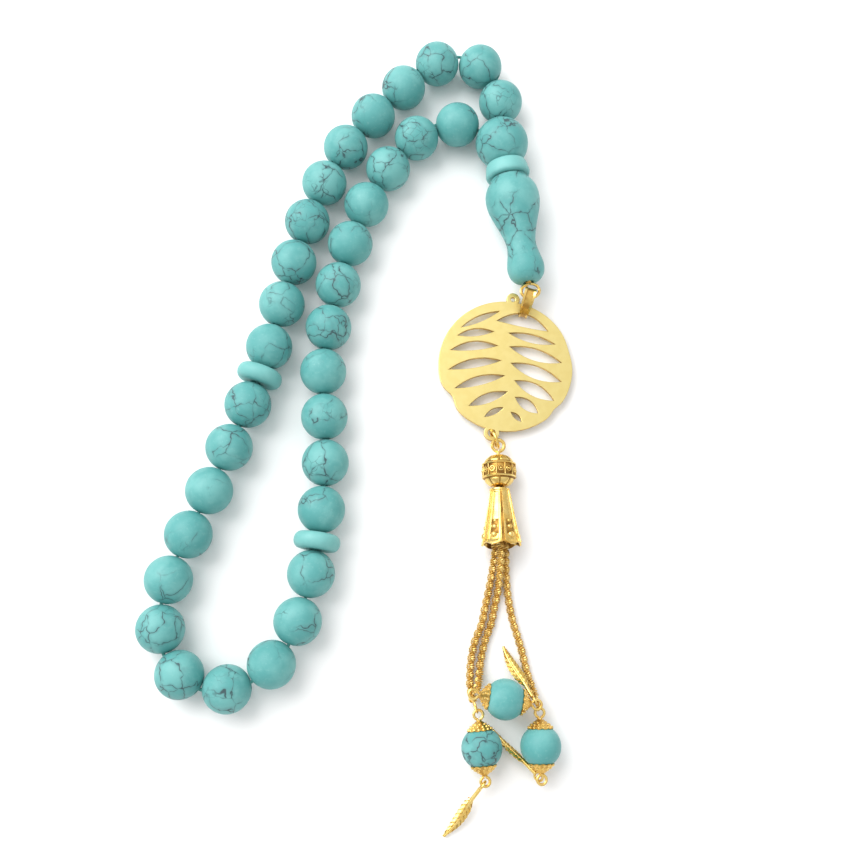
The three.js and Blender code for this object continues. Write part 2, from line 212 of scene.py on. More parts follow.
def stoneMaterial(name, light, deep, veined):  # dyed stone, with dark crackle veins or without
    material, tree, shader = newMaterial(name)
    place = objectPlace(tree)
    cloud = noise(tree, place, 0.16, 4.0, 0.55)
    warp = noise(tree, place, 0.32, 2.0)
    shift = addNode(tree, "ShaderNodeVectorMath", {"operation": "MULTIPLY_ADD"})
    shift.inputs[1].default_value = (stoneLook["warp"],) * 3
    tree.links.new(warp.outputs["Color"], shift.inputs[0])
    tree.links.new(place, shift.inputs[2])
    base = blendColours(tree, ramp(tree, cloud.outputs["Fac"], 0.36, 0.66, 0, 1), deep, light)
    dust = noise(tree, place, 1.3, 5.0, 0.65)
    base = blendColours(tree, ramp(tree, dust.outputs["Fac"], 0.52, 0.78, 0, 0.55), base, stoneLook["chalk"])
    if veined:
        toEdge = {"feature": "DISTANCE_TO_EDGE"}
        coarse = addNode(tree, "ShaderNodeTexVoronoi", toEdge, {"Scale": stoneLook["cell"]})
        fine = addNode(tree, "ShaderNodeTexVoronoi", toEdge, {"Scale": stoneLook["fineCell"]})
        for cells in (coarse, fine):
            tree.links.new(shift.outputs[0], cells.inputs["Vector"])
        where = noise(tree, place, 0.085, 1.0)
        fineWhere = noise(tree, place, 0.13, 2.0)
        strength = noise(tree, place, 0.55, 2.0)
        coarseMask = multiply(tree, ramp(tree, where.outputs["Fac"], 0.40, 0.52, 0.0, 1.0),
                              ramp(tree, strength.outputs["Fac"], 0.30, 0.58, 0.15, 1.0))
        fineMask = ramp(tree, fineWhere.outputs["Fac"], 0.58, 0.68, 0.0, 0.85)
        coarseLine = ramp(tree, coarse.outputs["Distance"], 0.006, stoneLook["veinWidth"], 1, 0)
        coarseLine = multiply(tree, coarseLine, coarseMask)
        fineLine = ramp(tree, fine.outputs["Distance"], 0.0, stoneLook["fineWidth"], 0.8, 0)
        fineLine = multiply(tree, fineLine, fineMask)
        halo = ramp(tree, coarse.outputs["Distance"], 0.0, stoneLook["haloWidth"], 0.55, 0)
        halo = multiply(tree, halo, coarseMask)
        base = blendColours(tree, halo, base, stoneLook["halo"])
        lines = larger(tree, coarseLine, fineLine)
        base = blendColours(tree, lines, base, stoneLook["vein"])
        addBump(tree, shader, multiply(tree, lines, -1), stoneLook["veinBump"], stoneLook["veinDepth"])
    tree.links.new(base, shader.inputs["Base Color"])
    tree.links.new(ramp(tree, dust.outputs["Fac"], 0.3, 0.7, 0.40, 0.52), shader.inputs["Roughness"])
    shader.inputs["Specular IOR Level"].default_value = stoneLook["gloss"]
    return material


goldLook = {
    "bright": (0.860, 0.640, 0.225),
    "warm": (0.790, 0.530, 0.145),
    "satin": (0.765, 0.630, 0.250),
    "satinWarm": (0.740, 0.600, 0.225),
    "rope": (0.840, 0.600, 0.210),
    "ropeWarm": (0.740, 0.490, 0.135),
    # painted shade: darker golds for side edges, grooves, hollows and the ground between grains
    "paintedShade": (0.500, 0.290, 0.070),
    "recessShade": (0.210, 0.100, 0.024),
}


def goldMaterial(name, colourA, colourB, roughLow, roughHigh, grain):
    material, tree, shader = newMaterial(name)
    place = objectPlace(tree)
    tone = noise(tree, place, 0.5, 3.0)
    scuff = noise(tree, place, grain, 6.0, 0.65)
    colour = blendColours(tree, ramp(tree, tone.outputs["Fac"], 0.35, 0.65, 0, 1), colourA, colourB)
    tree.links.new(colour, shader.inputs["Base Color"])
    rough = ramp(tree, scuff.outputs["Fac"], 0.3, 0.7, roughLow, roughHigh)
    tree.links.new(rough, shader.inputs["Roughness"])
    shader.inputs["Metallic"].default_value = 1.0
    addBump(tree, shader, scuff.outputs["Fac"], 0.12, 0.02)
    return material


cordLook = {"deep": (0.060, 0.270, 0.250), "light": (0.150, 0.480, 0.440), "stripes": (900, 3, 1)}


def cordMaterial():  # two twisted plies, whose stripes follow the cord's own UV map
    material, tree, shader = newMaterial("cordFibre")
    own = addNode(tree, "ShaderNodeUVMap")
    stretch = addNode(tree, "ShaderNodeMapping", values={"Scale": cordLook["stripes"]})
    tree.links.new(own.outputs["UV"], stretch.inputs["Vector"])
    bands = {"wave_type": "BANDS", "bands_direction": "DIAGONAL"}
    ply = addNode(tree, "ShaderNodeTexWave", bands, {"Scale": 1.0, "Distortion": 0.4, "Detail": 1.0})
    tree.links.new(stretch.outputs["Vector"], ply.inputs["Vector"])
    colour = blendColours(tree, ply.outputs["Fac"], cordLook["deep"], cordLook["light"])
    tree.links.new(colour, shader.inputs["Base Color"])
    shader.inputs["Roughness"].default_value = 0.85
    addBump(tree, shader, ply.outputs["Fac"], 0.8, 0.08)
    return material


def floorMaterial():
    material, tree, shader = newMaterial("paleFloor")
    grain = noise(tree, objectPlace(tree), 0.02, 2.0)
    colour = blendColours(tree, grain.outputs["Fac"], (0.90, 0.90, 0.90), (0.92, 0.92, 0.92))
    tree.links.new(colour, shader.inputs["Base Color"])
    shader.inputs["Roughness"].default_value = 0.9
    shader.inputs["Specular IOR Level"].default_value = 0.1
    return material


makeCamera()
makeSky()
makeKeyLight()
bpy.context.scene.view_settings.view_transform = "Standard"
makeFloor(floorMaterial())
veinedStone = stoneMaterial("veinedStone", stoneLook["light"], stoneLook["deep"], True)
plainStone = stoneMaterial("plainStone", stoneLook["light"], stoneLook["deep"], False)
paleStone = stoneMaterial("paleStone", stoneLook["pale"], stoneLook["light"], False)
cordFibre = cordMaterial()
polishedGold = goldMaterial("polishedGold", goldLook["bright"], goldLook["warm"], 0.20, 0.32, 2.5)
satinGold = goldMaterial("satinGold", goldLook["satin"], goldLook["satinWarm"], 0.30, 0.40, 3.5)
chainGold = goldMaterial("chainGold", goldLook["rope"], goldLook["ropeWarm"], 0.38, 0.50, 2.5)
# painted shade: the two darker golds stand in for shade on side edges, in grooves and hollows, and inside the
# bell
shadedGold = goldMaterial("shadedGold", goldLook["paintedShade"], goldLook["warm"], 0.28, 0.40, 3.0)
darkShadeGold = goldMaterial("darkShadeGold", goldLook["recessShade"], goldLook["paintedShade"], 0.42, 0.6, 3.0)
print("camera, light and materials are ready")


# tools that every piece uses

def onlySelect(piece):
    if bpy.context.object and bpy.context.object.mode != "OBJECT":
        bpy.ops.object.mode_set(mode="OBJECT")
    bpy.ops.object.select_all(action="DESELECT")
    piece.select_set(True)
    bpy.context.view_layer.objects.active = piece


def clearSelection():
    if bpy.context.object and bpy.context.object.mode != "OBJECT":
        bpy.ops.object.mode_set(mode="OBJECT")
    bpy.ops.object.select_all(action="DESELECT")


def startPiece(name):  # names the primitive that was just added
    piece = bpy.context.object
    piece.name = name
    piece.data.name = name
    return piece


def pick(piece, kind, test):  # selects vertices or faces by place, and leaves edit mode on
    bpy.ops.object.mode_set(mode="EDIT")
    bpy.ops.mesh.select_mode(type=kind)
    bpy.ops.mesh.select_all(action="DESELECT")
    bpy.ops.object.mode_set(mode="OBJECT")
    parts = piece.data.vertices if kind == "VERT" else piece.data.polygons
    for part in parts:
        part.select = test(part)
    bpy.ops.object.mode_set(mode="EDIT")


def closeUp(piece):  # merges doubles and points the faces outwards
    onlySelect(piece)
    bpy.ops.object.mode_set(mode="EDIT")
    bpy.ops.mesh.select_all(action="SELECT")
    bpy.ops.mesh.remove_doubles(threshold=0.002 * mm)
    bpy.ops.mesh.normals_make_consistent(inside=False)
    bpy.ops.object.mode_set(mode="OBJECT")


def applyModifier(piece, kind, settings):
    onlySelect(piece)
    modifier = piece.modifiers.new(kind.title(), kind)
    for key, value in settings.items():
        setattr(modifier, key, value)
    bpy.ops.object.modifier_apply(modifier=modifier.name)


def put(piece, matrix):  # moves the mesh into place and leaves the object at the origin
    onlySelect(piece)
    piece.matrix_world = matrix
    bpy.ops.object.transform_apply(location=True, rotation=True, scale=True)


def copyPiece(piece, name, matrix):
    copy = piece.copy()
    copy.data = piece.data.copy()
    copy.name = name
    copy.data.name = name
    copy.data.transform(matrix)
    bpy.context.scene.collection.objects.link(copy)
    return copy


def joinPieces(name, pieces):
    onlySelect(pieces[0])
    for piece in pieces:
        piece.select_set(True)
    bpy.ops.object.join()
    return startPiece(name)


def removePiece(piece):
    bpy.data.objects.remove(piece)


def finishPiece(piece, body, materials, nodes=(), sharp=32):
    onlySelect(piece)
    if materials:
        piece.data.materials.clear()
        for material in materials:
            piece.data.materials.append(material)
    bpy.ops.object.shade_smooth_by_angle(angle=math.radians(sharp))
    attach(piece, body)
    if nodes:
        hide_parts(*nodes)
    return piece


def standing(point, direction, turn=0.0):  # puts a piece's own Z along a direction
    aim = Vector(direction).to_track_quat("Z", "Y").to_matrix().to_4x4()
    return Matrix.Translation(Vector(point)) @ aim @ Matrix.Rotation(turn, 4, "Z")


def onJoint(name, turn=0.0):
    return standing(joints[name]["pos_m"], joints[name]["axis"], turn)


def smoothLine(points, perSpan):  # a rounded line through every point
    ends = [points[0] * 2 - points[1], *points, points[-1] * 2 - points[-2]]
    line = []
    for i in range(1, len(ends) - 2):
        before, first, second, after = ends[i - 1:i + 3]
        for step in range(perSpan):
            t = step / perSpan
            line.append(0.5 * (2 * first + (second - before) * t
                               + (2 * before - 5 * first + 4 * second - after) * t ** 2
                               + (3 * first - before - 3 * second + after) * t ** 3))
    line.append(points[-1])
    return line


def evenly(line, spacing):  # places at equal steps along a line, each with its direction
    places = []
    wanted = 0.0
    walked = 0.0
    for first, second in zip(line, line[1:]):
        span = (second - first).length
        while span > 0 and wanted <= walked + span:
            places.append((first.lerp(second, (wanted - walked) / span), (second - first).normalized()))
            wanted += spacing
        walked += span
    return places


def spinProfile(name, corners, steps):  # corners are (radius, height) in mm, round a closed outline
    clearSelection()
    bpy.ops.mesh.primitive_plane_add(size=mm)
    piece = startPiece(name)
    bpy.ops.object.mode_set(mode="EDIT")
    bpy.ops.mesh.select_mode(type="VERT")
    bpy.ops.mesh.select_all(action="SELECT")
    bpy.ops.mesh.merge(type="CENTER")
    bpy.ops.transform.translate(value=(corners[0][0] * mm, 0, corners[0][1] * mm))
    loop = [*corners, corners[0]]
    for (radius, height), (nextRadius, nextHeight) in zip(loop, loop[1:]):
        step = ((nextRadius - radius) * mm, 0, (nextHeight - height) * mm)
        bpy.ops.mesh.extrude_vertices_move(TRANSFORM_OT_translate={"value": step})
    bpy.ops.mesh.select_all(action="SELECT")
    bpy.ops.mesh.spin(steps=steps, angle=math.tau, center=(0, 0, 0), axis=(0, 0, 1))
    closeUp(piece)
    return piece


def wire(name, points, radius, sides=3):  # a round wire through points in mm, ends closed
    clearSelection()
    bpy.ops.curve.primitive_nurbs_path_add()
    piece = startPiece(name)
    curve = piece.data
    curve.splines.clear()
    spline = curve.splines.new("POLY")
    spline.points.add(len(points) - 1)
    for place, point in zip(spline.points, points):
        place.co = (point[0] * mm, point[1] * mm, point[2] * mm, 1)
    curve.bevel_depth = radius * mm
    curve.bevel_resolution = sides
    curve.use_fill_caps = True
    onlySelect(piece)
    bpy.ops.object.convert(target="MESH")
    closeUp(piece)
    return piece


def goldRing(name, radius, wireRadius, around, across=6):
    clearSelection()
    bpy.ops.mesh.primitive_torus_add(
        major_radius=radius * mm, minor_radius=wireRadius * mm, major_segments=around, minor_segments=across)
    ring = startPiece(name)
    ring.data.materials.append(polishedGold)
    return ring


def goldGrain(name, radius, rounds=2):
    clearSelection()
    bpy.ops.mesh.primitive_ico_sphere_add(subdivisions=rounds, radius=radius * mm)
    grain = startPiece(name)
    grain.data.materials.append(polishedGold)
    return grain


def ringPoints(radius, fromDegrees, toDegrees, steps, lift=0.0):  # an arc that may rise as it turns
    points = []
    for i in range(steps + 1):
        t = i / steps
        angle = math.radians(fromDegrees + (toDegrees - fromDegrees) * t)
        points.append((radius * math.cos(angle), radius * math.sin(angle), lift * t))
    return points


# the cord

cordSizes = {"radius": 0.35, "sides": 3}
cordRoute = [
    (0.03448, 0.0446, 0.0061), (0.03292, 0.0549, 0.0061), (0.0319, 0.0606, 0.0061), (0.0314, 0.0634, 0.0061),
    (0.0315, 0.0682, 0.0052), (0.0316, 0.0738, 0.005), (0.0301, 0.08, 0.005), (0.0236, 0.0846, 0.005),
    (0.0166, 0.0834, 0.005), (0.0094, 0.0771, 0.005), (-0.0042, 0.0619, 0.005), (-0.0128, 0.0435, 0.005),
    (-0.018, 0.0242, 0.005), (-0.0226, 0.0075, 0.005), (-0.0288, -0.0086, 0.005), (-0.0366, -0.027, 0.005),
    (-0.0404, -0.036, 0.005), (-0.0419, -0.0469, 0.005), (-0.0377, -0.0561, 0.005), (-0.0277, -0.0591, 0.005),
    (-0.018, -0.0533, 0.005), (-0.0131, -0.0439, 0.005), (-0.0097, -0.0273, 0.005), (-0.0082, -0.0104, 0.005),
    (-0.009, 0.0097, 0.005), (-0.0057, 0.029, 0.005), (0.0006, 0.0482, 0.005), (0.0121, 0.0646, 0.005),
    (0.0216, 0.0683, 0.005), (0.0264, 0.0659, 0.0051), (0.0306, 0.0628, 0.0061), (0.0312, 0.0596, 0.0061),
    (0.03202, 0.0547, 0.0061), (0.03358, 0.0444, 0.0061),
]


def makeCord():
    line = smoothLine([Vector(point) / mm for point in cordRoute], 8)
    piece = wire("stringingCord", line, cordSizes["radius"], cordSizes["sides"])
    finishPiece(piece, "strand", [cordFibre], ["stringing_cord"])


makeCord()
print("cord is strung")


# beads and discs

beadSizes = {
    "radius": 5.0,
    "tasselRadius": 4.2,
    "segments": 64,
    "rings": 36,
    "mouth": 11.0,  # degrees from the pole
    "boreShare": 0.78,  # of the mouth
    "sink": 0.93,  # how far in the bore's lip reaches, as a share of the mouth's height
}


def makeBead(name, radius):
    clearSelection()
    bpy.ops.mesh.primitive_uv_sphere_add(
        segments=beadSizes["segments"], ring_count=beadSizes["rings"], radius=radius * mm)
    bead = startPiece(name)
    top = radius * mm * math.cos(math.radians(beadSizes["mouth"]))
    pick(bead, "FACE", lambda face: abs(face.center.z) > top)
    bpy.ops.mesh.delete(type="FACE")
    bpy.ops.mesh.select_mode(type="EDGE")
    bpy.ops.mesh.select_non_manifold()
    bpy.ops.mesh.extrude_edges_move()
    share = beadSizes["boreShare"]
    bpy.ops.transform.resize(value=(share, share, beadSizes["sink"]), center_override=(0, 0, 0))
    bpy.ops.mesh.bridge_edge_loops()
    closeUp(bead)
    return bead


def stringBeads():
    model = makeBead("beadModel", beadSizes["radius"])
    for name, joint in joints.items():
        if name.startswith("bead_") and name.endswith("_spin"):
            node = joint["child"]
            number = node.split("_")[1]
            bead = copyPiece(model, "bead" + number, onJoint(name, random.uniform(0, math.tau)))
            finishPiece(bead, node, [veinedStone], [node])
    removePiece(model)


discSizes = {
    "radius": 4.95, "half": 1.75, "bore": 1.05, "round": 1.35, "arcSteps": 9, "steps": 48,
    "mouthWide": 0.45, "mouthDeep": 0.3,
}


def makeDiscs():
    bore, half, arc = discSizes["bore"], discSizes["half"], discSizes["round"]
    mouth, inside = bore + discSizes["mouthWide"], half - discSizes["mouthDeep"]
    outline = [(bore, -inside), (mouth, -half)]
    for i in range(discSizes["arcSteps"] + 1):
        angle = math.radians(-90 + 180 * i / discSizes["arcSteps"])
        outline.append((discSizes["radius"] - arc + arc * math.cos(angle), half * math.sin(angle)))
    outline += [(mouth, half), (bore, inside)]
    model = spinProfile("discModel", outline, discSizes["steps"])
    for name, joint in joints.items():
        if name.startswith("divider_disc"):
            node = joint["child"]
            disc = copyPiece(model, "dividerDisc" + node[-1], onJoint(name))
            finishPiece(disc, node, [paleStone], [node], sharp=60)
    removePiece(model)


stringBeads()
makeDiscs()
print("beads and discs are strung")


# the imame

imameSizes = {
    "headRadius": 6.0,
    "headToCollar": 7.0,  # from the head's centre to the collar joint
    "headSegments": 64,
    "headRings": 40,
    "headBores": [(-90, 0, 1.3), (80, 6, 1.15), (138, 6, 1.15)],  # heading and dip in degrees, radius
    "drillReach": 6.2,  # before its end is drawn back to the neck
    "drillBack": 0.8,  # past the head's centre, so that the bores meet
    "drillNeck": 4.75,  # how far from the centre a bore starts to open
    "mouthDeep": 1.6,
    "mouthWiden": 1.5,
    "bore": 1.25,
    "steps": 64,
    "collar": [
        (1.25, -8.6), (4.35, -8.6), (4.85, -8.42), (5.05, -7.95), (4.95, -7.2), (4.78, -6.2),
        (4.6, -5.5), (4.35, -5.12), (3.9, -5.0), (3.2, -5.45), (1.25, -6.35),
    ],
    "vase": [
        (4.1, -8.9), (4.35, -9.6), (5.2, -10.6), (5.9, -12.2), (6.1, -14.2), (5.8, -16.3), (5.02, -18.7),
        (4.17, -21.1), (3.5, -23.5), (3.3, -25.4), (3.58, -27.4), (4.0, -29.2), (4.15, -30.6),
        (3.85, -32.2), (3.0, -33.4), (1.9, -34.0),
    ],
}
imameAxis = Vector(joints["imame_collar_spin"]["axis"]).normalized()
headCentre = Vector(joints["imame_collar_spin"]["pos_m"]) + imameAxis * imameSizes["headToCollar"] * mm
imameLean = math.atan2(imameAxis.y, imameAxis.x) - math.pi / 2


def makeImameHead():
    clearSelection()
    bpy.ops.mesh.primitive_uv_sphere_add(
        segments=imameSizes["headSegments"], ring_count=imameSizes["headRings"],
        radius=imameSizes["headRadius"] * mm)
    head = startPiece("imameHead")
    reach, back, neck = imameSizes["drillReach"], imameSizes["drillBack"], imameSizes["drillNeck"]
    deep, widen = imameSizes["mouthDeep"], imameSizes["mouthWiden"]
    cutters = []
    for turn, dip, radius in imameSizes["headBores"]:
        clearSelection()
        bpy.ops.mesh.primitive_cylinder_add(
            vertices=32, radius=radius * mm, depth=(reach + back) * mm,
            location=(0, 0, (reach - back) / 2 * mm))
        drill = startPiece("drill")
        bpy.ops.object.transform_apply(location=True)
        pick(drill, "FACE", lambda face: face.normal.z > 0.9)
        bpy.ops.transform.translate(value=(0, 0, (neck - reach) * mm))
        bpy.ops.mesh.extrude_region_move(TRANSFORM_OT_translate={"value": (0, 0, deep * mm)})
        bpy.ops.transform.resize(value=(widen, widen, 1), center_override=(0, 0, 0))
        heading = math.radians(turn)
        aim = (math.cos(heading), math.sin(heading), -math.tan(math.radians(dip)))
        put(drill, standing((0, 0, 0), aim))
        cutters.append(drill)
    for drill in cutters:
        applyModifier(head, "BOOLEAN", {"object": drill, "operation": "DIFFERENCE"})
        removePiece(drill)
    closeUp(head)
    bpy.ops.object.mode_set(mode="EDIT")
    bpy.ops.mesh.select_all(action="SELECT")
    bpy.ops.mesh.quads_convert_to_tris()
    bpy.ops.mesh.dissolve_degenerate(threshold=0.01 * mm)  # what the cuts leave with no area
    bpy.ops.object.mode_set(mode="OBJECT")
    put(head, Matrix.Translation(headCentre) @ Matrix.Rotation(imameLean, 4, "Z"))
    finishPiece(head, "strand", [veinedStone], ["imame_head"])


def makeImame():
    makeImameHead()
    collar = spinProfile("imameCollar", imameSizes["collar"], imameSizes["steps"])
    put(collar, standing(headCentre, imameAxis))
    finishPiece(collar, "imame_collar", [paleStone], ["imame_collar"], sharp=50)
    outside = [Vector((radius, height, 0)) for radius, height in imameSizes["vase"]]
    rounded = [(point.x, point.y) for point in smoothLine(outside, 4)]
    bore = imameSizes["bore"]
    outline = [(bore, imameSizes["vase"][0][1]), *rounded, (bore, imameSizes["vase"][-1][1])]
    vase = spinProfile("imameVase", outline, imameSizes["steps"])
    put(vase, standing(headCentre, imameAxis))
    finishPiece(vase, "imame_vase", [veinedStone], ["imame_vase"], sharp=40)


makeImame()
print("imame is turned")


# the medallion and what it hangs on

plateSizes = {
    "centre": (31.3, 10.7),
    "radius": 15.0,
    "thickness": 0.95,
    "floor": 1.25,
    "bevel": 0.1,
    "edgeStep": 3,
    "lugSteps": 32,
    # where each notch is in degrees, how deep, and how many degrees wide
    "notches": [(210, 1.1, 9), (317, 0.5, 6), (14, 0.3, 12)],
    "topLug": (33.4, 26.2, 1.5, 0.5),  # place, radius and hole
    "bottomLug": (27.8, -4.6, 1.7, 0.85),
    # both tips of each leaf opening from the centre, then how far each side bows
    "leaves": [
        (-9.7, 8.9, -1.0, 12.7, 0.9, 0.55), (-1.7, 10.5, 9.9, 8.0, 2.95, 0.2),
        (-2.4, 7.9, -10.6, 7.0, 0.6, 1.2), (-1.6, 4.6, -12.2, 3.6, 0.5, 1.6),
        (-0.9, 1.2, -12.7, -0.9, 0.6, 1.5), (-0.2, -2.3, -11.4, -5.2, 0.7, 1.4),
        (0.3, -6.0, -8.4, -9.2, 0.9, 1.3), (-0.7, -9.6, -5.0, -11.7, 0.5, 0.8),
        (0.9, 7.6, 11.3, 5.0, 1.0, 1.0), (1.0, 4.4, 12.6, 0.7, 1.4, 1.4),
        (1.2, 0.6, 12.4, -3.7, 1.5, 1.5), (1.9, -3.4, 10.6, -8.0, 1.6, 1.3),
        (1.9, -7.2, 7.0, -10.9, 1.3, 1.1), (0.9, -10.6, 3.2, -12.8, 0.6, 0.5),
    ],
}


def plateRadiusAt(angle):
    radius = plateSizes["radius"]
    for middle, depth, width in plateSizes["notches"]:
        away = (angle - middle + 180) % 360 - 180
        radius -= depth * math.exp(-((away / width) ** 2))
    return radius


def addOutline(curve, points):
    spline = curve.splines.new("POLY")
    spline.points.add(len(points) - 1)
    for place, (x, y) in zip(spline.points, points):
        place.co = (x * mm, y * mm, 0, 1)
    spline.use_cyclic_u = True


def leafOutline(x0, y0, x1, y1, bowLeft, bowRight, steps=10):
    first = Vector((x0, y0))
    second = Vector((x1, y1))
    side = Vector((-(y1 - y0), x1 - x0)).normalized()
    points = []
    for start, end, bow in ((first, second, bowLeft), (second, first, -bowRight)):
        middle = (first + second) / 2 + side * bow * 2
        for i in range(steps):
            t = i / steps
            points.append(start * (1 - t) ** 2 + middle * 2 * t * (1 - t) + end * t ** 2)
    return points


def flatPlate(name, outlines):
    clearSelection()
    bpy.ops.curve.primitive_nurbs_path_add()
    piece = startPiece(name)
    curve = piece.data
    curve.splines.clear()
    curve.dimensions = "2D"
    curve.fill_mode = "BOTH"
    for outline in outlines:
        addOutline(curve, outline)
    curve.extrude = (plateSizes["thickness"] / 2 - plateSizes["bevel"]) * mm
    curve.bevel_depth = plateSizes["bevel"] * mm
    curve.offset = -plateSizes["bevel"] * mm
    curve.bevel_resolution = 1
    onlySelect(piece)
    bpy.ops.object.convert(target="MESH")
    closeUp(piece)
    return piece


def makeMedallion():
    rim = []
    for angle in range(0, 360, plateSizes["edgeStep"]):
        radius = plateRadiusAt(angle)
        rim.append((radius * math.cos(math.radians(angle)), radius * math.sin(math.radians(angle))))
    plate = flatPlate("medallionPlate", [rim, *[leafOutline(*leaf) for leaf in plateSizes["leaves"]]])
    middle = plateSizes["floor"] + plateSizes["thickness"] / 2
    put(plate, Matrix.Translation(Vector((*plateSizes["centre"], middle)) * mm))
    turns = [math.tau * i / plateSizes["lugSteps"] for i in range(plateSizes["lugSteps"])]
    for key in ("topLug", "bottomLug"):
        x, y, radius, hole = plateSizes[key]
        circles = [[(r * math.cos(turn), r * math.sin(turn)) for turn in turns] for r in (radius, hole)]
        lug = flatPlate(key, circles)
        put(lug, Matrix.Translation(Vector((x, y, middle)) * mm))
        applyModifier(plate, "BOOLEAN", {"object": lug, "operation": "UNION"})
        removePiece(lug)
    # the plate's side faces take the darker gold: painted shade on the edges
    edges = [abs(face.normal.z) < 0.5 for face in plate.data.polygons]
    finishPiece(plate, "medallion", [satinGold, shadedGold], ["medallion"], sharp=12)
    for face, isEdge in zip(plate.data.polygons, edges):
        face.material_index = 1 if isEdge else 0


bailSizes = {
    "long": 3.8, "short": 1.95, "wall": 0.4, "half": 0.9, "broaden": 0.42, "steps": 56,
    "hollowHalf": 0.52, "broadSide": (0.88, 0.476),
    "turns": (90, -61.6, 74),  # degrees about X, Y and Z
}


def makeBail():
    long, short = bailSizes["long"], bailSizes["short"]
    wall, half = bailSizes["wall"], bailSizes["half"]
    clearSelection()
    bpy.ops.mesh.primitive_circle_add(vertices=bailSizes["steps"], radius=1.0, location=(0, 0, 0))
    band = startPiece("bailBand")
    bpy.ops.object.mode_set(mode="EDIT")
    bpy.ops.mesh.select_all(action="SELECT")
    bpy.ops.transform.resize(value=(long * mm, short * mm, 1), center_override=(0, 0, 0))
    bpy.ops.transform.translate(value=(0, 0, -half * mm))
    grow = (wall / long, wall / short)
    # in and up round the band's section: rim, hollow, rim
    section = [(1.0, 0.0), (1.0, 0.34), (0.5, 0.1), (0.42, 0.92), (0.5, 0.1), (1.0, 0.34)]
    size = (1.0, 1.0)
    for share, rise in section:
        wanted = (1 + grow[0] * share, 1 + grow[1] * share)
        bpy.ops.mesh.extrude_edges_move(TRANSFORM_OT_translate={"value": (0, 0, rise * mm)})
        stretch = (wanted[0] / size[0], wanted[1] / size[1], 1)
        bpy.ops.transform.resize(value=stretch, center_override=(0, 0, 0))
        size = wanted
    bpy.ops.mesh.extrude_edges_move(TRANSFORM_OT_translate={"value": (0, 0, 0)})
    bpy.ops.transform.resize(value=(1 / size[0], 1 / size[1], 1), center_override=(0, 0, 0))
    bpy.ops.mesh.select_mode(type="EDGE")
    bpy.ops.mesh.select_non_manifold()
    bpy.ops.mesh.bridge_edge_loops()
    closeUp(band)
    # the hollow between the rims takes the darker gold: painted shade in the recess
    hollow = [(face.center.x / long) ** 2 + (face.center.y / short) ** 2 > (1.04 * mm) ** 2
              and abs(face.center.z) < bailSizes["hollowHalf"] * mm for face in band.data.polygons]
    sideX, sideY = bailSizes["broadSide"]
    for vertex in band.data.vertices:  # the band is broadest where it faces up
        rise = (vertex.co.x * sideX + vertex.co.y * sideY) / (long * mm)
        vertex.co.z *= 1 + bailSizes["broaden"] * max(0.0, min(1.0, rise + 0.25))
    low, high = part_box("bail")
    turnX, turnY, turnZ = [math.radians(turn) for turn in bailSizes["turns"]]
    turn = Matrix.Rotation(turnZ, 4, "Z") @ Matrix.Rotation(turnY, 4, "Y") @ Matrix.Rotation(turnX, 4, "X")
    put(band, Matrix.Translation((Vector(low) + Vector(high)) / 2) @ turn)
    finishPiece(band, "bail", [polishedGold, shadedGold], ["bail"])
    for face, isHollow in zip(band.data.polygons, hollow):
        face.material_index = 1 if isHollow else 0


ringSizes = {"radius": 2.0, "wire": 0.33, "cutAt": 200, "split": 5, "steps": 44, "turn": -69}


def makeJumpRing():  # a ring of wire with its cut closed up
    start, gap = ringSizes["cutAt"], ringSizes["split"]
    points = ringPoints(ringSizes["radius"], start + gap / 2, start + 360 - gap / 2, ringSizes["steps"])
    ring = wire("jumpRing", points, ringSizes["wire"])
    low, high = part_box("jump_ring")
    turn = Matrix.Rotation(math.radians(ringSizes["turn"]), 4, "Z") @ Matrix.Rotation(math.pi / 2, 4, "X")
    put(ring, Matrix.Translation((Vector(low) + Vector(high)) / 2) @ turn)
    finishPiece(ring, "jump_ring", [polishedGold], ["jump_ring"])


footSizes = {
    "wide": 1.65, "long": 2.05, "wire": 0.34, "drop": 36.0, "shank": 27.0, "neck": 33.9, "steps": 32,
    "rise": 0.06,  # how far the loop's end stands off its start
    "wrapAt": 34.0, "wrapRadius": 0.5, "wrapWire": 0.2, "wrapClimb": 0.00055,  # mm for each degree
}


def makeFootEye():  # the wire that ends in a loop below the imame, wrapped once at its neck
    long, wide, drop = footSizes["long"], footSizes["wide"], footSizes["drop"]
    loop = []
    for x, y, z in ringPoints(1, 90, 440, footSizes["steps"], footSizes["rise"]):
        loop.append((long * x, wide * y - drop, z))
    neck = [(0, -footSizes["shank"], 0), (0, -footSizes["neck"], 0)]
    wrap = []
    for degrees in range(0, 760, 30):
        angle = math.radians(degrees)
        height = degrees * footSizes["wrapClimb"] - footSizes["wrapAt"]
        around = footSizes["wrapRadius"]
        wrap.append((around * math.cos(angle), height, around * math.sin(angle)))
    loopWire = wire("footLoop", [*neck, *loop], footSizes["wire"])
    eye = joinPieces("footEye", [loopWire, wire("footWrap", wrap, footSizes["wrapWire"])])
    put(eye, Matrix.Translation(headCentre) @ Matrix.Rotation(imameLean, 4, "Z"))
    finishPiece(eye, "strand", [polishedGold], ["foot_eye"])


makeMedallion()
makeBail()
makeJumpRing()
makeFootEye()
print("medallion, bail and rings are in place")


# the tassel's pin, ball and bell

tasselAxis = Vector(joints["tassel_ball_spin"]["axis"]).normalized()  # points up the tassel
tasselTop = Vector(joints["tassel_ball_spin"]["pos_m"]) + tasselAxis * 5.7 * mm


tasselPinSizes = {
    "upperEye": 1.3, "upperWire": 0.38, "lowerEye": 1.1, "lowerWire": 0.35, "lowerDrop": 14.6,
    "shankWire": 0.42, "shankSteps": 10, "shankStep": 1.22, "rise": 0.1,
}


